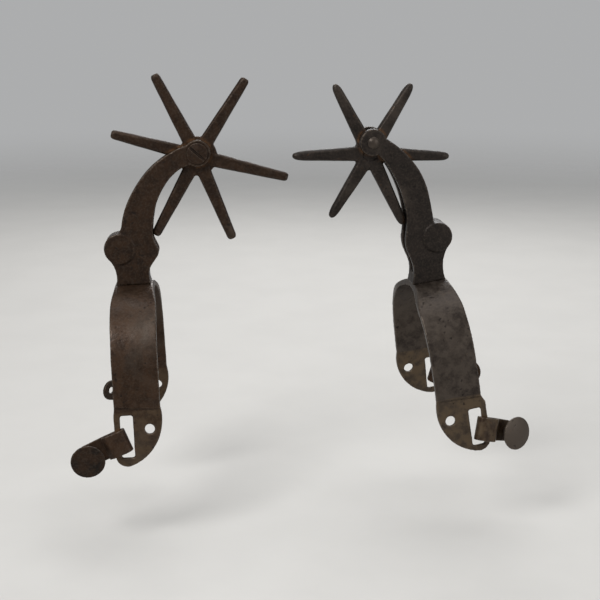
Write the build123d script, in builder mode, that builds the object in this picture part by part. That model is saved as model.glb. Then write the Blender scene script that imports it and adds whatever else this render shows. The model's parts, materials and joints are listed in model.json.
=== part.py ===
"""A pair of hand-forged spurs with loose rowels and swinging strap buttons.

Each spur is modelled in its own frame, as it would be worn on a boot that points down:
X is the upper side of the spur, Y is across the heel, and Z runs from the heel to the rowel.
The origin of that frame is the middle of the heel seat, on the inner face of the band.
The two spurs are then hung side by side over one round bar, with +Z up and the bar along X,
and the whole pair is moved so that its origin is the centre of the left spur's heel seat.
"""
from build123d import *
import os
from math import cos, hypot, radians, sin, tan

# ---------------------------------------------------------------- driving dimensions (mm)
band_width = 25.4
band_thickness = 3.2
seat_radius = 40.0          # inner radius of the heel band
splay = 6.0                 # degrees that each leg opens out from parallel
root_half_width = 10.2      # the band narrows to this where the shank stands on it
shoulder_depth = 8.0        # and reaches its full width this far below the seat
outline_margin = 0.6        # how far the side view and the front view overshoot each other

plate_thickness = 2.4       # terminal, thinner than the band
terminal_length = 32.1      # step in the outer face to the terminal's end
flare_length = 4.5          # over which the terminal widens out to its hinge bar
toe_radius = 6.6            # rounded corner at the end of the hinge bar
toe_width = 7.8
chain_hole_radius = 2.8
chain_hole_x = -6.3
chain_hole_from_end = 20.2
hinge_bar_width = 3.4       # the bar that the hanger swings on
hinge_bar_rounding = 1.1
slot_width = 7.0
slot_corner = 1.0

shank_thickness = 12.0
rowel_slot_width = 5.6
boss_radius = 7.4
boss_relief = 0.4
kerf_depth = 6.0            # the fork's slot runs down the lower edge of the neck to here
guard_relief = 0.8
foot_half_width = 11.0
neck_half_width = 9.4
neck_height = 9.0
guard_blend_angle = -42.0   # where the neck's curve runs into the round guard

pin_radius = 1.9
pin_head_radius = 5.8
pin_head_height = 1.6
pin_dome_radius = 3.5
pin_dome_height = 1.8
screw_slot_width = 1.4
screw_slot_depth = 0.9
screw_slot_angle = -43.0

rowel_thickness = 4.8
rowel_clearance = 2.0       # all round the rowel's points, in the fork
rowel_sag = 2.0             # the worn hole is wider than the pin, so the rowel hangs low
pin_play = 0.1              # between the pin and the top of the worn hole
rowel_hole_radius = pin_radius + rowel_sag + pin_play
eye_wall = 2.6              # least metal round the worn hole
rowel_web_thickness = 3.4
point_root_radius = 4.2
point_tip_radius = 2.7

strip_thickness = 1.5
strip_gap = 4.7             # between the two leaves, round the hinge bar
strip_width = 13.0
strip_end_width = 12.0
fold_reach = 6.35           # hinge to the outside of the fold
button_reach = 18.3         # hinge to the strap button
crease_reach = 4.2
lip_reach = 7.0
lip_angle = 42.0

button_radius = 9.4
button_edge = 1.2
button_height = 2.2
button_neck_radius = 3.1
button_neck_length = 7.5
button_collar = 1.2         # foot of the neck, square to the strap
rivet_radius = 2.0
rivet_head_radius = 3.2
rivet_head_height = 0.9

bar_radius = 23.85          # round bar that both spurs hang over


# ---------------------------------------------------------------- where things sit on a spur
def leg_direction(side):
    """Unit vector down a leg of the band, from the seat to its terminal."""
    return Vector(0, side * sin(radians(splay)), -cos(radians(splay)))


def terminal_plane(side, x, depth):
    """Plane in the middle of a terminal's thickness, facing away from the boot."""
    tangent_y = seat_radius * cos(radians(splay))
    tangent_z = -seat_radius + seat_radius * sin(radians(splay))
    run = (tangent_z + depth) / cos(radians(splay))
    outward = Vector(0, side * cos(radians(splay)), sin(radians(splay)))
    inner_face = Vector(x, side * tangent_y, tangent_z) + leg_direction(side) * run
    return Plane(inner_face + outward * (plate_thickness / 2), x_dir=(1, 0, 0), z_dir=outward)


def hanger_location(side, hinge_x, depth, droop, swing):
    """Place of a hanger: drooping in its loose slot, and swung in towards the boot."""
    hinge = terminal_plane(side, hinge_x, depth)
    return hinge.location * Rot(0, swing, 0) * Rot(0, 0, side * droop)


def across_spur(centre, offset=0.0):
    """Plane across the spur's thickness through a point of the side view."""
    return Plane((centre[0], -offset, centre[1]), x_dir=(1, 0, 0), z_dir=(0, -1, 0))


def rowel_centre(pin):
    """The rowel hangs from the pin by the top of its worn hole."""
    return (pin[0], pin[1] - rowel_sag)


def rowel_reach(points, off_centre):
    """Radius, round the rowel's hole, that its points sweep as it turns."""
    longest = max(length for angle, length in points)
    return longest + hypot(*off_centre) + rowel_clearance


# ---------------------------------------------------------------- heel band
def make_heel_band(band_depth, lower_root, hinge_x, slot_top, slot_end, step_slant):
    step_depth = band_depth - terminal_length
    leg_run = (band_depth + outline_margin - seat_radius * (1 - sin(radians(splay)))) / cos(radians(splay))
    band_top = band_thickness + outline_margin
    with BuildPart() as heel_band:
        # U-shaped strap, seen from the side
        with BuildSketch(Plane.YZ):
            with BuildLine():
                inner = CenterArc((0, -seat_radius), seat_radius, splay, 180 - 2 * splay)
                outer = CenterArc((0, -seat_radius), seat_radius + band_thickness, splay, 180 - 2 * splay)
                ends = []
                for arc in (inner, outer):
                    right = Line(arc @ 0, (arc @ 0) - (arc % 0) * leg_run)
                    left = Line(arc @ 1, (arc @ 1) + (arc % 1) * leg_run)
                    ends.append((right @ 1, left @ 1))
                Line(ends[0][0], ends[1][0])
                Line(ends[0][1], ends[1][1])
            make_face()
        extrude(amount=band_width, both=True)

        # outline of the band and both terminals, seen along Y
        half = band_width / 2
        bar_edge = hinge_x + hinge_bar_width / 2
        with BuildSketch(Plane.XZ.offset(-2 * seat_radius)):
            with BuildLine():
                top = Line((-lower_root, band_top), (root_half_width, band_top))
                upper_shoulder = Spline(
                    top @ 1, (half, -shoulder_depth), tangents=((0.3, -1), (0, -1))
                )
                lower_shoulder = Spline(
                    top @ 0, (-half, -shoulder_depth), tangents=((-0.3, -1), (0, -1))
                )
                upper_side = Line(upper_shoulder @ 1, (half, -step_depth))
                lower_side = Line(lower_shoulder @ 1, (-half, -step_depth))
                flare = Line(upper_side @ 1, (bar_edge, -step_depth - flare_length))
                bar_side = Line(flare @ 1, (bar_edge, -band_depth + toe_radius))
                toe = TangentArc(bar_side @ 1, (bar_edge - toe_width, -band_depth), tangent=(0, -1))
                ThreePointArc(toe @ 1, (-10.6, -band_depth + 14.0), lower_side @ 1)
            make_face()
        extrude(amount=4 * seat_radius, mode=Mode.INTERSECT)

        for side in (-1, 1):
            # step on the outer face, where the strap was drawn thinner
            step_plane = terminal_plane(side, 0, step_depth).offset(plate_thickness / 2)
            with BuildSketch(step_plane):
                with Locations(Location((0, side * band_depth / 2), side * step_slant)):
                    Rectangle(3 * band_width, band_depth)
            extrude(amount=band_thickness, mode=Mode.SUBTRACT)

            # slot beside the hinge bar, and the hole for the heel chain
            slot_x = hinge_x - (hinge_bar_width + slot_width) / 2
            with BuildSketch(terminal_plane(side, slot_x, (slot_top + slot_end) / 2)):
                RectangleRounded(slot_width, slot_end - slot_top, slot_corner)
            extrude(amount=band_thickness, both=True, mode=Mode.SUBTRACT)
            with BuildSketch(terminal_plane(side, chain_hole_x, band_depth - chain_hole_from_end)):
                Circle(chain_hole_radius)
            extrude(amount=band_thickness, both=True, mode=Mode.SUBTRACT)

        # inside the slots the hinge bars are rounded so that the hangers turn on them
        def on_hinge_bar(edge):
            beside_bar = abs(edge.center().X - (hinge_x - hinge_bar_width / 2)) < 0.01
            return beside_bar and edge.length > (slot_end - slot_top) / 2

        fillet(heel_band.edges().filter_by(on_hinge_bar), hinge_bar_rounding)
    return heel_band.part


# ---------------------------------------------------------------- shank
def make_shank(pin, hub, reach, upper_edge, lower_edge, guard, guard_radius):
    blend = radians(guard_blend_angle)
    guard_blend = (guard[0] + guard_radius * cos(blend), guard[1] + guard_radius * sin(blend))
    with BuildPart() as shank:
        with BuildSketch(Plane.XZ):
            with BuildLine():
                upper_foot = Spline(
                    (foot_half_width, 0),
                    (neck_half_width, neck_height),
                    guard_blend,
                    tangents=((-0.5, 1), (-sin(blend), cos(blend))),
                )
                behind_guard = Line(upper_foot @ 1, upper_edge[0])
                upper_side = Spline(behind_guard @ 1, *upper_edge[1:])
                boss_end = Line(upper_side @ 1, lower_edge[0])
                lower_side = Spline(boss_end @ 1, *lower_edge[1:])
                lower_foot = Spline(
                    lower_side @ 1, (-foot_half_width, 0), tangents=(lower_side % 1, (-0.5, -1))
                )
                Line(lower_foot @ 1, (foot_half_width, 0))
            make_face()
            with Locations(guard):
                Circle(guard_radius)
            with Locations(pin):
                Circle(boss_radius)
        extrude(amount=shank_thickness / 2, both=True)

        # raised faces: the round chap guard and the eye for the pin
        with BuildSketch(Plane.XZ):
            with Locations(guard):
                Circle(guard_radius)
        extrude(amount=shank_thickness / 2 + guard_relief, both=True)
        with BuildSketch(across_spur(pin)):
            Circle(boss_radius)
        extrude(amount=shank_thickness / 2 + boss_relief, both=True)

        # the fork: clear of the whole rowel, then a saw kerf down to the neck
        with BuildSketch(across_spur(hub)):
            Circle(reach)
        extrude(amount=rowel_slot_width / 2, both=True, mode=Mode.SUBTRACT)
        with BuildSketch(Plane.XZ):
            with Locations((-kerf_depth, neck_height)):
                Rectangle(reach, reach, align=(Align.MAX, Align.MIN))
        extrude(amount=rowel_slot_width / 2, both=True, mode=Mode.SUBTRACT)

        with BuildSketch(across_spur(pin)):
            Circle(pin_radius)
        extrude(amount=shank_thickness, both=True, mode=Mode.SUBTRACT)

        # the foot sits on the outside of the heel band
        with BuildSketch(Plane.YZ):
            with Locations((0, -seat_radius)):
                Circle(seat_radius + band_thickness)
        extrude(amount=band_width, both=True, mode=Mode.SUBTRACT)
    return shank.part


# ---------------------------------------------------------------- rowel and its pin
def make_rowel(hub, points, off_centre, web_radius, tip_length, tip_flat):
    """Star of points round a web; its hole, at the hub, was punched a little off its middle."""
    middle = (hub[0] + off_centre[0], hub[1] + off_centre[1])
    hub_plane = across_spur(hub)
    middle_plane = across_spur(middle)
    with BuildPart() as rowel:
        with BuildSketch(middle_plane):
            Circle(web_radius)
        extrude(amount=rowel_web_thickness / 2, both=True)
        with BuildSketch(hub_plane):
            Circle(rowel_hole_radius + eye_wall)
        extrude(amount=rowel_web_thickness / 2, both=True)

        for angle, length in points:
            along = Vector(cos(radians(angle)), 0, sin(radians(angle)))
            point_plane = Plane(middle_plane.origin, x_dir=along, z_dir=(0, -1, 0))
            with BuildSketch(point_plane):
                with BuildLine():
                    Polyline(
                        (point_root_radius, 0),
                        (point_root_radius, point_root_radius),
                        (length - tip_length, point_tip_radius),
                    )
                    Spline(
                        (length - tip_length, point_tip_radius),
                        (length, tip_flat),
                        tangents=((1, -0.1), (0.6, -1)),
                    )
                    Polyline((length, tip_flat), (length, 0), (point_root_radius, 0))
                make_face()
            revolve(axis=Axis(middle_plane.origin, along))

        # flattened on both faces to run in the fork, and opened for the pin
        with BuildSketch(hub_plane.offset(-rowel_thickness / 2)):
            Circle(rowel_reach(points, off_centre))
            Circle(rowel_hole_radius, mode=Mode.SUBTRACT)
        extrude(amount=rowel_thickness, mode=Mode.INTERSECT)
    return rowel.part


def make_rowel_pin(pin):
    centre = (pin[0], 0, pin[1])
    face = shank_thickness / 2 + boss_relief
    with BuildPart() as rowel_pin:
        with BuildSketch(Plane(centre, x_dir=(1, 0, 0), z_dir=(0, 0, 1))):
            with BuildLine():
                Polyline((0, face + pin_head_height), (0, -face - pin_dome_height))
                dome = TangentArc((0, -face - pin_dome_height), (pin_dome_radius, -face), tangent=(1, 0))
                Polyline(
                    dome @ 1,
                    (pin_radius, -face),
                    (pin_radius, face),
                    (pin_head_radius, face),
                    (pin_head_radius, face + 0.6 * pin_head_height),
                )
                TangentArc(
                    (0, face + pin_head_height),
                    (pin_head_radius, face + 0.6 * pin_head_height),
                    tangent=(1, 0),
                )
            make_face()
        revolve(axis=Axis(centre, (0, 1, 0)))
        with BuildSketch(across_spur(pin, -face - pin_head_height)):
            with Locations(Location((0, 0), -screw_slot_angle)):
                Rectangle(3 * pin_head_radius, screw_slot_width)
        extrude(amount=screw_slot_depth, mode=Mode.SUBTRACT)
    return rowel_pin.part


# ---------------------------------------------------------------- hanger and strap button
def make_hanger():
    """Folded strip: X away from the hinge, Y along the hinge, Z away from the boot."""
    half_gap = strip_gap / 2
    outside = half_gap + strip_thickness
    fold_x = -fold_reach + outside
    end_x = button_reach + strip_end_width / 2
    drop = (lip_reach - crease_reach) * tan(radians(lip_angle))
    lean = strip_thickness * tan(radians(lip_angle / 2))
    with BuildPart() as hanger:
        with BuildSketch(Plane.XZ):
            with BuildLine():
                Polyline((fold_x, -half_gap), (end_x, -half_gap), (end_x, -outside), (fold_x, -outside))
                ThreePointArc((fold_x, -outside), (fold_x - outside, 0), (fold_x, outside))
                Polyline(
                    (fold_x, outside),
                    (crease_reach + lean, outside),
                    (lip_reach + lean, outside - drop),
                    (lip_reach, half_gap - drop),
                    (crease_reach, half_gap),
                    (fold_x, half_gap),
                )
                ThreePointArc((fold_x, half_gap), (fold_x - half_gap, 0), (fold_x, -half_gap))
            make_face()
        extrude(amount=strip_width / 2, both=True)
        with BuildSketch(Plane.XY.offset(-2 * outside)):
            with BuildLine():
                shoulder = Polyline(
                    (button_reach, strip_end_width / 2),
                    (lip_reach, strip_width / 2),
                    (-fold_reach - 1, strip_width / 2),
                    (-fold_reach - 1, -strip_width / 2),
                    (lip_reach, -strip_width / 2),
                    (button_reach, -strip_end_width / 2),
                )
                ThreePointArc(shoulder @ 1, (end_x, 0), shoulder @ 0)
            make_face()
            with Locations((button_reach, 0)):
                Circle(rivet_radius, mode=Mode.SUBTRACT)
        extrude(amount=4 * outside, mode=Mode.INTERSECT)
    return hanger.part


def make_button(lean):
    """Strap button riveted to a hanger, in the hanger's own frame; its head may be knocked over."""
    seat = -strip_gap / 2
    back = seat - strip_thickness
    foot_plane = Plane((button_reach, 0, 0), x_dir=(1, 0, 0), z_dir=(0, -1, 0))
    head_place = Pos(button_reach, 0, seat + button_collar) * Rot(lean, 0, 0)
    under_head = button_neck_length - button_collar
    with BuildPart() as button:
        # rivet through the strap
        with BuildSketch(foot_plane):
            with BuildLine():
                Polyline(
                    (0, seat + button_collar),
                    (0, back - rivet_head_height),
                    (0.6 * rivet_head_radius, back - rivet_head_height),
                    (rivet_head_radius, back),
                    (rivet_radius, back),
                    (rivet_radius, seat),
                    (button_neck_radius, seat),
                    (button_neck_radius, seat + button_collar),
                    (0, seat + button_collar),
                )
            make_face()
        revolve(axis=Axis((button_reach, 0, 0), (0, 0, 1)))

        # neck and head
        with BuildSketch(Plane(head_place) * Plane.XZ.location):
            with BuildLine():
                Polyline(
                    (0, under_head + button_height),
                    (0, 0),
                    (button_neck_radius, 0),
                    (button_neck_radius, under_head),
                    (button_radius, under_head),
                    (button_radius, under_head + button_edge),
                )
                TangentArc(
                    (0, under_head + button_height),
                    (button_radius, under_head + button_edge),
                    tangent=(1, 0),
                )
            make_face()
        head_axis = Axis(head_place.position, Plane(head_place).z_dir)
        revolve(axis=head_axis)
    return button.part


# ---------------------------------------------------------------- the two spurs on their bar
def hang(x, y, lift, yaw, roll, tilt, facing):
    """Rest a spur's heel seat on top of the bar, turned and tipped a little."""
    seat = Pos(x, y, bar_radius + lift)
    return seat * Rot(0, 0, yaw) * Rot(0, -roll, 0) * Rot(tilt, 0, 0) * Rot(0, 0, facing)


spurs = {
    "left": {
        "place": hang(-90.7, 1.4, 0.9, yaw=3.4, roll=2.2, tilt=-1.7, facing=180),
        "band": {
            "band_depth": 90.6,
            "lower_root": 10.2,
            "hinge_x": 11.5,
            "slot_top": 62.5,
            "slot_end": 85.7,
            "step_slant": -3.5,
        },
        "pin": (-39.8, 75.4),
        "shank": {
            "upper_edge": [(4.9, 36.0), (3.2, 43.6), (-1.3, 53.5), (-11.4, 66.5), (-34.6, 80.4)],
            "lower_edge": [
                (-40.0, 69.6),
                (-27.3, 65.3),
                (-19.0, 55.6),
                (-14.5, 45.6),
                (-12.6, 35.0),
                (-12.9, 27.6),
                (-15.2, 21.2),
                (-11.3, 14.6),
                (-8.9, neck_height),
            ],
            "guard": (6.9, 23.6),
            "guard_radius": 8.6,
        },
        "rowel": {
            "points": [
                (17, 49.4),
                (65, 50.8),
                (125, 50.8),
                (196, 52.2),
                (250, 50.8),
                (301, 50.8),
            ],
            "off_centre": (0.0, 0.0),
            "web_radius": 11.0,
            "tip_length": 2.4,
            "tip_flat": 1.6,
        },
        "hangers": {
            "front": {"side": 1, "depth": 77.6, "droop": 21, "swing": 0},
            "rear": {"side": -1, "depth": 72.5, "droop": -18, "swing": 48},
        },
        "buttons": {"front": -14},
    },
    "right": {
        "place": hang(76.1, 6.0, 1.9, yaw=10.4, roll=8.5, tilt=3.0, facing=0),
        "band": {
            "band_depth": 87.0,
            "lower_root": 8.0,
            "hinge_x": 13.4,
            "slot_top": 62.6,
            "slot_end": 83.6,
            "step_slant": 3.5,
        },
        "pin": (-22.2, 88.0),
        "shank": {
            "upper_edge": [(6.9, 36.0), (6.2, 49.0), (3.7, 63.0), (-2.4, 75.6), (-15.6, 89.4)],
            "lower_edge": [
                (-20.5, 81.2),
                (-15.3, 73.4),
                (-11.0, 62.5),
                (-8.8, 51.8),
                (-8.9, 37.0),
                (-10.6, 25.6),
                (-8.4, 17.0),
                (-7.9, neck_height),
            ],
            "guard": (8.0, 28.2),
            "guard_radius": 8.4,
        },
        "rowel": {
            "points": [
                (51, 44.1),
                (110, 43.6),
                (172, 43.7),
                (230, 41.6),
                (288, 45.8),
                (348, 45.4),
            ],
            "off_centre": (-1.4, -4.8),
            "web_radius": 9.3,
            "tip_length": 6.0,
            "tip_flat": 0.7,
        },
        "hangers": {
            "front": {"side": -1, "depth": 75.8, "droop": 22, "swing": 24},
            "rear": {"side": 1, "depth": 74.4, "droop": 20, "swing": 8},
        },
        "buttons": {"front": 0, "rear": 0},
    },
}


def export(solid, place, label):
    placed = solid.moved(place)
    placed.label = label
    export_step(placed, f"parts/{label}.step")


if __name__ == "__main__":
    os.makedirs("parts", exist_ok=True)
    # the part's frame starts in the middle of the left spur's heel seat
    origin = (spurs["left"]["place"] * Pos(0, 0, -seat_radius)).position
    for name, spur in spurs.items():
        place = Pos(-origin) * spur["place"]
        pin = spur["pin"]
        hub = rowel_centre(pin)
        reach = rowel_reach(spur["rowel"]["points"], spur["rowel"]["off_centre"])
        export(make_heel_band(**spur["band"]), place, f"{name}_heel_band")
        export(make_shank(pin, hub, reach, **spur["shank"]), place, f"{name}_shank")
        export(make_rowel(hub, **spur["rowel"]), place, f"{name}_rowel")
        export(make_rowel_pin(pin), place, f"{name}_rowel_pin")
        for end, hanger in spur["hangers"].items():
            hung = place * hanger_location(hinge_x=spur["band"]["hinge_x"], **hanger)
            export(make_hanger(), hung, f"{name}_{end}_hanger")
            if end in spur["buttons"]:
                export(make_button(spur["buttons"][end]), hung, f"{name}_{end}_button")
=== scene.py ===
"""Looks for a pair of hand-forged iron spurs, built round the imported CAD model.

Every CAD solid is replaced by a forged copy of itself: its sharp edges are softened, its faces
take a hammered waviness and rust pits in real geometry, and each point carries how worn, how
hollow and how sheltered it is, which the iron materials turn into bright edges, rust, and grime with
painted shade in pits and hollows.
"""

import json
from math import radians

import bmesh
import bpy
import numpy as np
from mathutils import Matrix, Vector, noise
from mathutils.bvhtree import BVHTree


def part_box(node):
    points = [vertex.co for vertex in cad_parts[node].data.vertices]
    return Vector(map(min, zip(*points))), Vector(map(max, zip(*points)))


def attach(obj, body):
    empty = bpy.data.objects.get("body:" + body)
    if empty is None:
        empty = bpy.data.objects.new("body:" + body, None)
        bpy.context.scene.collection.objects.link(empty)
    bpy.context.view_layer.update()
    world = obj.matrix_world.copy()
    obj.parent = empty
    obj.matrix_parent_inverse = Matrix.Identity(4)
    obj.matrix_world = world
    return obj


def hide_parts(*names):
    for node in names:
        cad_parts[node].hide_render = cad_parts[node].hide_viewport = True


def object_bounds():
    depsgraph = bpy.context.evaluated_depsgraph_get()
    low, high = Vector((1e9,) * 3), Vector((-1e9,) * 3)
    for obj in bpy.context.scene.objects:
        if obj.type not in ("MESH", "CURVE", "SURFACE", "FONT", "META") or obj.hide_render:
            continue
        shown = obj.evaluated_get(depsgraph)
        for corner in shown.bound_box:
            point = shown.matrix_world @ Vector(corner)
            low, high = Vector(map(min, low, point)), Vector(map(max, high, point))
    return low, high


MM = 0.001

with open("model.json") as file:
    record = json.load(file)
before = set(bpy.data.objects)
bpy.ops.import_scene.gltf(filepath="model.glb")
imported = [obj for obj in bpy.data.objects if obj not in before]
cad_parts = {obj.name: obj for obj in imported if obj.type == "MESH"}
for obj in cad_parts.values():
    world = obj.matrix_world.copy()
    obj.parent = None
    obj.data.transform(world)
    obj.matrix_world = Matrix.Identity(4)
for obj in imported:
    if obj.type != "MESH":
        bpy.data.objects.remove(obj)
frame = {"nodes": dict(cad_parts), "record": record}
nodes = frame["nodes"]
cad_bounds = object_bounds()
bodies = frame["record"]["behaviour"]["bodies"]
node_body = {node: body for body, members in bodies.items() for node in members}


# ---------------------------------------------------------------- forged meshes
# part: (voxel, softening passes, hammer marks, fine unevenness, pit depth), lengths in mm
FINISH = {
    "heel_band": (0.50, 4, 0.14, 0.030, 0.10),
    "shank": (0.46, 8, 0.16, 0.035, 0.09),
    "rowel": (0.42, 12, 0.12, 0.030, 0.07),
    "rowel_pin": (0.26, 5, 0.04, 0.015, 0.03),
    "front_hanger": (0.34, 6, 0.12, 0.025, 0.06),
    "rear_hanger": (0.34, 6, 0.12, 0.025, 0.06),
    "front_button": (0.34, 8, 0.10, 0.025, 0.06),
    "rear_button": (0.34, 8, 0.10, 0.025, 0.06),
}
WELD_DISTANCE = 0.001 * MM
SOFTEN_STEPS = (0.50, -0.46)    # shrink, then swell nearly as much, so that thin points keep their size
HAMMER_SIZE = 9.0 * MM
GRAIN_SIZE = 1.6 * MM
PIT_SIZE = 1.5 * MM
PIT_SHARE = 0.30            # a pit is where the pit noise is above this
PIT_SLOPE = 4               # times the pit depth: how far a fully open pit sinks
PATCH_SIZE = 14.0 * MM      # the pits come in patches of this size
PATCH_SHARE = 0.35
SEED_STEP = (1.7, 2.3, 0.9)     # moves each piece to its own place in the noise
BEND_GAIN = 6               # how sharp an edge has to be to count as fully worn
BEND_SPREAD = 3             # passes that spread the wear a little beyond the edge
TOE_LENGTH = 31.0 * MM      # the terminals, which are browner than the band above them
TOE_SLOPE = 0.12            # the step above them is not quite level
SHELTER_REACH = 3.0 * MM    # how far rust creeps out from where two pieces meet


def welded_copy(node):
    """The CAD solid as one closed mesh object, ready to be remeshed."""
    work = bmesh.new()
    work.from_mesh(nodes[node].data)
    bmesh.ops.remove_doubles(work, verts=work.verts, dist=WELD_DISTANCE)
    mesh = bpy.data.meshes.new(f"{node}_source")
    work.to_mesh(mesh)
    work.free()
    source = bpy.data.objects.new(f"{node}_source", mesh)
    bpy.context.scene.collection.objects.link(source)
    return source


def remeshed(node, voxel):
    """An even skin over the CAD solid, so that it can be worn and pitted everywhere."""
    source = welded_copy(node)
    skin = source.modifiers.new("skin", "REMESH")
    skin.mode = "VOXEL"
    skin.voxel_size = voxel
    evaluated = source.evaluated_get(bpy.context.evaluated_depsgraph_get())
    mesh = bpy.data.meshes.new_from_object(evaluated)
    mesh.name = f"{node}_forged"
    bpy.data.meshes.remove(source.data)
    return mesh


def coordinates(mesh):
    flat = np.empty(len(mesh.vertices) * 3, np.float32)
    mesh.vertices.foreach_get("co", flat)
    return flat.reshape(-1, 3).astype(float)


def normals(mesh):
    flat = np.empty(len(mesh.vertices) * 3, np.float32)
    mesh.vertices.foreach_get("normal", flat)
    return flat.reshape(-1, 3).astype(float)


def edge_ends(mesh):
    ends = np.empty(len(mesh.edges) * 2, np.int32)
    mesh.edges.foreach_get("vertices", ends)
    return ends.reshape(-1, 2).T


def neighbour_mean(ends, values):
    """Average of each vertex's neighbours, for smoothing and for curvature."""
    here, there = np.concatenate([ends, ends[::-1]], axis=1)
    count = np.maximum(np.bincount(here, minlength=len(values)), 1)
    columns = values.reshape(len(values), -1).T
    totals = [np.bincount(here, column[there], minlength=len(values)) / count for column in columns]
    return np.array(totals).T.reshape(values.shape)


def soften(mesh, passes):
    """Wears the edges round."""
    points = coordinates(mesh)
    ends = edge_ends(mesh)
    for _ in range(passes):
        for step in SOFTEN_STEPS:
            points += step * (neighbour_mean(ends, points) - points)
    mesh.vertices.foreach_set("co", points.astype(np.float32).ravel())
    mesh.update()


def hammered(mesh, box, hammer, fine, pit, seed):
    """Moves the skin along its normals inside the CAD box; returns each point's depth in a pit."""
    points = coordinates(mesh)
    outward = normals(mesh)
    shift = np.empty(len(points))
    pitted = np.empty(len(points))
    start = Vector([seed * step for step in SEED_STEP])
    for i, point in enumerate(points):
        spot = Vector(point)
        wave = noise.noise(spot / HAMMER_SIZE + start)
        grain = noise.noise(spot / GRAIN_SIZE + start)
        patch = noise.noise(spot / PATCH_SIZE - start)
        hole = noise.noise(spot / PIT_SIZE - start)
        pitted[i] = max(hole - PIT_SHARE, 0) * max(patch + PATCH_SHARE, 0) / (1 - PIT_SHARE)
        shift[i] = hammer * wave + fine * grain - PIT_SLOPE * pit * pitted[i]
    points = np.clip(points + outward * shift[:, None], *box)
    mesh.vertices.foreach_set("co", points.astype(np.float32).ravel())
    mesh.update()
    return pitted


def curvature(mesh, voxel):
    """Positive on outside edges, negative in hollows, from -1 to 1."""
    points = coordinates(mesh)
    ends = edge_ends(mesh)
    bend = -np.einsum("ij,ij->i", neighbour_mean(ends, points) - points, normals(mesh)) / voxel
    for _ in range(BEND_SPREAD):
        bend = 0.5 * bend + 0.5 * neighbour_mean(ends, bend)
    return np.clip(bend * BEND_GAIN, -1, 1)


def surface(mesh):
    return BVHTree.FromPolygons([v.co for v in mesh.vertices], [face.vertices for face in mesh.polygons])


surfaces = {node: surface(solid.data) for node, solid in nodes.items()}


def shelter(mesh, node):
    """1 where a piece of another body touches this one, 0 from SHELTER_REACH away."""
    near = np.zeros(len(mesh.vertices))
    points = coordinates(mesh)
    low, high = points.min(0) - SHELTER_REACH, points.max(0) + SHELTER_REACH
    for other in nodes:
        if node_body[other] == node_body[node]:
            continue
        corner_low, corner_high = (np.array(corner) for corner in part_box(other))
        if (corner_low > high).any() or (corner_high < low).any():
            continue
        close = ((points > corner_low - SHELTER_REACH) & (points < corner_high + SHELTER_REACH)).all(1)
        for i in np.nonzero(close)[0]:
            distance = surfaces[other].find_nearest(Vector(points[i]), SHELTER_REACH)[3]
            if distance is not None:
                near[i] = max(near[i], 1 - distance / SHELTER_REACH)
    return near


def toes(mesh):
    """1 on the terminals at the low ends of a heel band's two legs, 0 on the band above."""
    points = coordinates(mesh)
    front = points[:, 1] < points[:, 1].mean()
    lowest = np.where(front, points[front, 2].min(), points[~front, 2].min())
    step = lowest + TOE_LENGTH + TOE_SLOPE * (points[:, 0] - points[:, 0].mean())
    return np.clip((step - points[:, 2]) / MM, 0, 1)


def store(mesh, name, values):
    attribute = mesh.attributes.new(name, "FLOAT", "POINT")
    attribute.data.foreach_set("value", values.astype(np.float32))


def forge(node, seed):
    """Replaces a CAD solid by its forged copy, which rides on the same body."""
    voxel, passes, *depths = FINISH[node.split("_", 1)[1]]
    voxel *= MM
    hammer, fine, pit = (depth * MM for depth in depths)
    mesh = remeshed(node, voxel)
    soften(mesh, passes)
    pitted = hammered(mesh, np.array(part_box(node)), hammer, fine, pit, seed)
    bend = curvature(mesh, voxel)
    store(mesh, "worn", np.clip(bend, 0, 1))
    store(mesh, "hollow", np.clip(-bend, 0, 1))
    store(mesh, "pitted", pitted)
    if node.endswith("heel_band"):
        store(mesh, "toe", toes(mesh))
    store(mesh, "shelter", shelter(mesh, node))
    mesh.shade_smooth()
    piece = bpy.data.objects.new(f"forged_{node}", mesh)
    bpy.context.scene.collection.objects.link(piece)
    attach(piece, node_body[node])
    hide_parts(node)
    return piece


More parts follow.
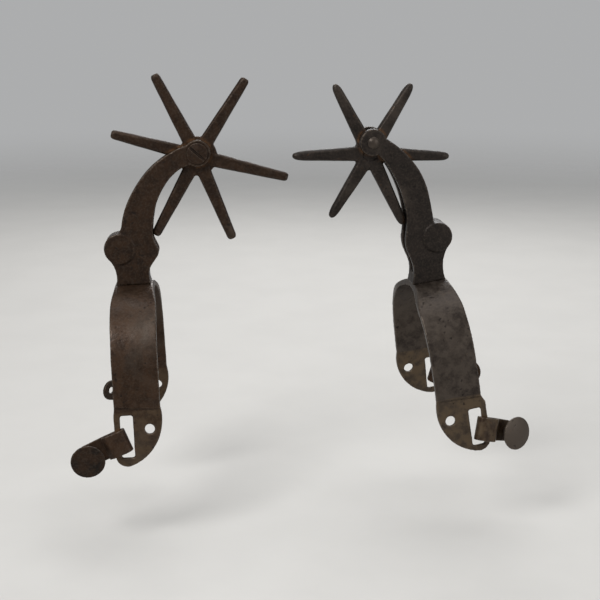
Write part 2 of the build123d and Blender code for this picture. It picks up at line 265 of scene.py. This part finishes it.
# ---------------------------------------------------------------- iron materials
class Graph:
    """Small helper that keeps a material's node tree readable."""

    def __init__(self, name):
        self.material = bpy.data.materials.new(name)
        self.material.use_nodes = True
        self.tree = self.material.node_tree
        self.shader = self.tree.nodes["Principled BSDF"]
        place = self.tree.nodes.new("ShaderNodeTexCoord")
        self.place = place.outputs["Object"]

    def noise(self, size, detail=4.0, roughness=0.55, distortion=0.0):
        node = self.tree.nodes.new("ShaderNodeTexNoise")
        node.inputs["Scale"].default_value = 1 / (size * MM)
        node.inputs["Detail"].default_value = detail
        node.inputs["Roughness"].default_value = roughness
        node.inputs["Distortion"].default_value = distortion
        self.tree.links.new(self.place, node.inputs["Vector"])
        return node.outputs["Fac"]

    def spots(self, size):
        node = self.tree.nodes.new("ShaderNodeTexVoronoi")
        node.inputs["Scale"].default_value = 1 / (size * MM)
        self.tree.links.new(self.place, node.inputs["Vector"])
        return node.outputs["Distance"]

    def distance_out(self):
        """How far a point is from the object's own origin, in metres."""
        node = self.tree.nodes.new("ShaderNodeVectorMath")
        node.operation = "LENGTH"
        self.tree.links.new(self.place, node.inputs[0])
        return node.outputs["Value"]

    def attribute(self, name):
        node = self.tree.nodes.new("ShaderNodeAttribute")
        node.attribute_name = name
        return node.outputs["Fac"]

    def ramp(self, value, low, high, bottom=0.0, top=1.0):
        node = self.tree.nodes.new("ShaderNodeMapRange")
        node.interpolation_type = "SMOOTHSTEP"
        for socket, number in (("From Min", low), ("From Max", high), ("To Min", bottom), ("To Max", top)):
            node.inputs[socket].default_value = number
        self.tree.links.new(value, node.inputs["Value"])
        return node.outputs["Result"]

    def math(self, operation, first, second):
        node = self.tree.nodes.new("ShaderNodeMath")
        node.operation = operation
        node.use_clamp = True
        for socket, value in zip(node.inputs, (first, second)):
            if isinstance(value, (int, float)):
                socket.default_value = value
            else:
                self.tree.links.new(value, socket)
        return node.outputs["Value"]

    def mix(self, amount, first, second):
        node = self.tree.nodes.new("ShaderNodeMix")
        node.data_type = "RGBA"
        self.tree.links.new(amount, node.inputs["Factor"])
        for socket, colour in ((node.inputs["A"], first), (node.inputs["B"], second)):
            if isinstance(colour, tuple):
                socket.default_value = (*colour, 1.0)
            else:
                self.tree.links.new(colour, socket)
        return node.outputs["Result"]

    def bump(self, height, strength, distance, below=None):
        node = self.tree.nodes.new("ShaderNodeBump")
        node.inputs["Strength"].default_value = strength
        node.inputs["Distance"].default_value = distance * MM
        self.tree.links.new(height, node.inputs["Height"])
        if below is not None:
            self.tree.links.new(below, node.inputs["Normal"])
        return node.outputs["Normal"]

    def plug(self, socket, value):
        if isinstance(value, (int, float)):
            self.shader.inputs[socket].default_value = value
        else:
            self.tree.links.new(value, self.shader.inputs[socket])


METALLIC = 0.5              # a skin of oxide over the metal

DARK = (0.022, 0.0112, 0.0058)
BROWN = (0.043, 0.0222, 0.0112)
GREY = (0.064, 0.050, 0.039)
COOL_DARK = (0.018, 0.0130, 0.0105)
COOL_BROWN = (0.062, 0.0490, 0.0390)
TAN = (0.085, 0.058, 0.033)
RUST = (0.125, 0.057, 0.020)
DEEP = (0.0138, 0.0068, 0.0034)
DEEP_BROWN = (0.031, 0.0152, 0.0070)
DEEP_COOL = (0.011, 0.0083, 0.0068)
DEEP_COOL_BROWN = (0.021, 0.0155, 0.0125)
# near-black for grime and painted shade in pits and hollows
GRIME_AND_SHADE = (0.007, 0.0045, 0.0032)
BRIGHT = (0.125, 0.098, 0.074)
WARM = {"dark": DEEP, "brown": DEEP_BROWN}
COOL = {"dark": DEEP_COOL, "brown": DEEP_COOL_BROWN}


def iron(name, dark=DARK, brown=BROWN, sheen=0.5, rust=0.3, nest=0.4, toe=0.8, gloss=0.44):
    """Old forged iron: brown patina, grey patches (rubbed iron and painted sheen), rubbed edges, rust where
    pieces nest, and grime with painted shade in pits and hollows.

    sheen is how much of it is grey in patches, rubbed iron and painted sheen in one, rust how much of it is
    speckled, nest how rusty it is close to other pieces, toe how brown the terminals are. Sizes of noise
    are in mm.
    """
    graph = Graph(name)
    mottle = graph.ramp(graph.noise(5.0, 6.0, 0.62), 0.32, 0.66)
    fleck = graph.ramp(graph.noise(1.1, 4.0, 0.65), 0.46, 0.62)
    # grey patches: partly rubbed iron, partly painted sheen
    rubbed_and_painted_sheen = graph.ramp(graph.noise(26.0, 3.0, 0.5, 0.4), 0.62 - 0.3 * sheen, 0.90 - 0.2 * sheen)
    worn = graph.ramp(graph.attribute("worn"), 0.15, 0.70)
    hollow = graph.ramp(graph.attribute("hollow"), 0.08, 0.50)
    pitted = graph.ramp(graph.attribute("pitted"), 0.02, 0.35)
    shelter = graph.ramp(graph.attribute("shelter"), 0.25, 1.0)

    colour = graph.mix(graph.math("MULTIPLY", mottle, 0.8), dark, brown)
    colour = graph.mix(graph.math("MULTIPLY", rubbed_and_painted_sheen, 0.6), colour, GREY)
    colour = graph.mix(graph.math("MULTIPLY", fleck, 0.24), colour, GREY)
    browner = graph.math("MULTIPLY", graph.attribute("toe"), graph.ramp(mottle, 0.0, 1.0, 0.3 * toe, toe))
    colour = graph.mix(browner, colour, TAN)
    colour = graph.mix(graph.math("MULTIPLY", worn, graph.ramp(fleck, 0.0, 1.0, 0.15, 0.5)), colour, BRIGHT)
    specks = graph.ramp(graph.noise(1.8, 6.0, 0.7, 0.8), 0.58, 0.74)
    patches = graph.ramp(graph.noise(13.0, 3.0, 0.5), 0.42, 0.66)
    speckled = graph.math("MULTIPLY", graph.math("MULTIPLY", specks, patches), rust)
    uneven = graph.ramp(graph.noise(3.0, 4.0, 0.6), 0.34, 0.62, 0.1, 1.0)
    sheltered = graph.math("MULTIPLY", shelter, uneven)
    rusted = graph.math("MAXIMUM", speckled, graph.math("MULTIPLY", sheltered, nest))
    colour = graph.mix(rusted, colour, RUST)
    # pits and hollows, the step above the terminals among them, darkened: partly grime, partly painted
    # shade
    colour = graph.mix(graph.math("MULTIPLY", graph.math("MAXIMUM", hollow, pitted), 0.7), colour, GRIME_AND_SHADE)
    graph.plug("Base Color", colour)

    dull = graph.math("MULTIPLY", rusted, 0.3)
    rough = graph.math("ADD", graph.ramp(mottle, 0.0, 1.0, gloss, gloss + 0.12), dull)
    rough = graph.math("SUBTRACT", rough, graph.math("MULTIPLY", worn, 0.08))
    graph.plug("Roughness", rough)
    graph.plug("Metallic", graph.math("MULTIPLY", graph.ramp(rusted, 0.0, 1.0, 1.0, 0.2), METALLIC))
    graph.plug("Specular IOR Level", 0.25)

    grain = graph.bump(graph.noise(0.55, 3.0, 0.6), 0.35, 0.05)
    pores = graph.bump(graph.ramp(graph.spots(1.1), 0.0, 0.35), 0.30, 0.05, grain)
    scale = graph.bump(graph.noise(3.2, 5.0, 0.6), 0.30, 0.14, pores)
    graph.plug("Normal", graph.bump(rusted, 0.4, 0.06, scale))
    return graph.material


MATERIALS = {
    "left_heel_band": iron("left_band_iron", sheen=0.70, rust=0.4, nest=0.9, toe=0.45, gloss=0.36),
    "right_heel_band": iron("right_band_iron", COOL_DARK, COOL_BROWN, sheen=0.85, rust=0.25, gloss=0.36),
    "left_shank": iron("left_shank_iron", **WARM, sheen=0.10, rust=0.25, nest=0.2),
    "right_shank": iron("right_shank_iron", **COOL, sheen=0.20, rust=0.15, nest=0.2),
    "left_rowel": iron("left_rowel_iron", **WARM, sheen=0.30, rust=0.7, nest=0.7),
    "right_rowel": iron("right_rowel_iron", **COOL, sheen=0.35, rust=0.7, nest=0.7),
    "left_rowel_pin": iron("left_pin_iron", **WARM, sheen=0.3, rust=0.2, nest=0.0),
    "right_rowel_pin": iron(
        "right_pin_iron", COOL_DARK, COOL_BROWN, sheen=0.9, rust=0.1, nest=0.0, gloss=0.36
    ),
    "left_front_hanger": iron("left_hanger_iron", DARK, BROWN, sheen=0.2, rust=0.6),
    "right_front_hanger": iron("right_hanger_iron", DARK, TAN, sheen=0.4, rust=0.8, gloss=0.38),
    "left_rear_hanger": iron("left_rear_hanger_iron", **WARM, sheen=0.1, rust=0.4),
    "right_rear_hanger": iron("right_rear_hanger_iron", sheen=0.3, rust=0.4),
    "left_front_button": iron("left_button_iron", GRIME_AND_SHADE, DEEP_BROWN, sheen=0.0, nest=0.2),
    "right_front_button": iron("right_button_iron", COOL_BROWN, GREY, sheen=1.0, rust=0.3, gloss=0.34),
    "right_rear_button": iron("right_rear_button_iron", sheen=0.6, rust=0.2, nest=0.2),
}

for number, node in enumerate(sorted(nodes)):
    piece = forge(node, seed=number + 1)
    piece.data.materials.clear()
    piece.data.materials.append(MATERIALS[node])


# ---------------------------------------------------------------- floor, light and camera
FLOOR_COLOUR = (0.52, 0.51, 0.49)
FLOOR_HALF_WIDTH = 4.0
FLOOR_DROP = 0.045          # m below the lowest point, since the spurs hang free
FLOOR_FADES = (0.7, 2.0)    # m from the middle: the floor melts into the studio's grey
STUDIO_GREY = (0.90, 0.91, 0.92, 1.0)
STUDIO_STRENGTH = 0.46
# name: (place from the middle of the spurs, size, power)
LIGHTS = {
    "key": ((-0.50, -0.70, 0.75), (0.45, 0.35), 8.5),
    "fill": ((0.8, -0.5, 0.25), (0.5, 0.7), 2.2),
    "top": ((0.05, 0.1, 0.9), (0.8, 0.5), 4.0),
    "back": ((0.1, 0.9, 0.5), (0.8, 0.4), 4.5),
}
CAMERA_PLACE = (0.0926, -0.7340, 0.2183)
CAMERA_TILT = 75.825        # degrees up from straight down
CAMERA_LENS = 79.5
SENSOR_WIDTH = 36.0


def pale_floor():
    """Almost plain, and clear at its rim, so that no horizon shows."""
    graph = Graph("pale_floor")
    tint = graph.ramp(graph.noise(60.0, 3.0), 0.3, 0.7)
    shaded = tuple(0.97 * channel for channel in FLOOR_COLOUR)
    graph.plug("Base Color", graph.mix(tint, FLOOR_COLOUR, shaded))
    graph.plug("Roughness", 0.8)
    graph.plug("Alpha", graph.ramp(graph.distance_out(), *FLOOR_FADES, 1.0, 0.0))
    return graph.material


def area_light(name, place, target, size, power):
    light = bpy.data.lights.new(name, "AREA")
    light.shape = "RECTANGLE"
    light.size, light.size_y = size
    light.energy = power
    lamp = bpy.data.objects.new(name, light)
    lamp.location = place
    lamp.rotation_euler = (target - place).to_track_quat("-Z", "Y").to_euler()
    bpy.context.scene.collection.objects.link(lamp)


low_corner, high_corner = (Vector(corner) for corner in cad_bounds)
centre = (low_corner + high_corner) / 2

floor_mesh = bpy.data.meshes.new("floor")
grid = bmesh.new()
bmesh.ops.create_grid(grid, x_segments=1, y_segments=1, size=FLOOR_HALF_WIDTH)
grid.to_mesh(floor_mesh)
grid.free()
floor = bpy.data.objects.new("floor", floor_mesh)
floor.location = (centre.x, 0, low_corner.z - FLOOR_DROP)
floor_mesh.materials.append(pale_floor())
bpy.context.scene.collection.objects.link(floor)

world = bpy.data.worlds.new("studio")
world.use_nodes = True
background = world.node_tree.nodes["Background"]
background.inputs["Color"].default_value = STUDIO_GREY
background.inputs["Strength"].default_value = STUDIO_STRENGTH
bpy.context.scene.world = world

for name, (offset, size, power) in LIGHTS.items():
    area_light(name, centre + Vector(offset), centre, size, power)

camera_data = bpy.data.cameras.new("camera")
camera_data.sensor_width = SENSOR_WIDTH
camera_data.lens = CAMERA_LENS
camera = bpy.data.objects.new("camera", camera_data)
camera.location = CAMERA_PLACE
camera.rotation_euler = (radians(CAMERA_TILT), 0, 0)
bpy.context.scene.collection.objects.link(camera)
bpy.context.scene.camera = camera
bpy.context.scene.view_settings.view_transform = "Standard"
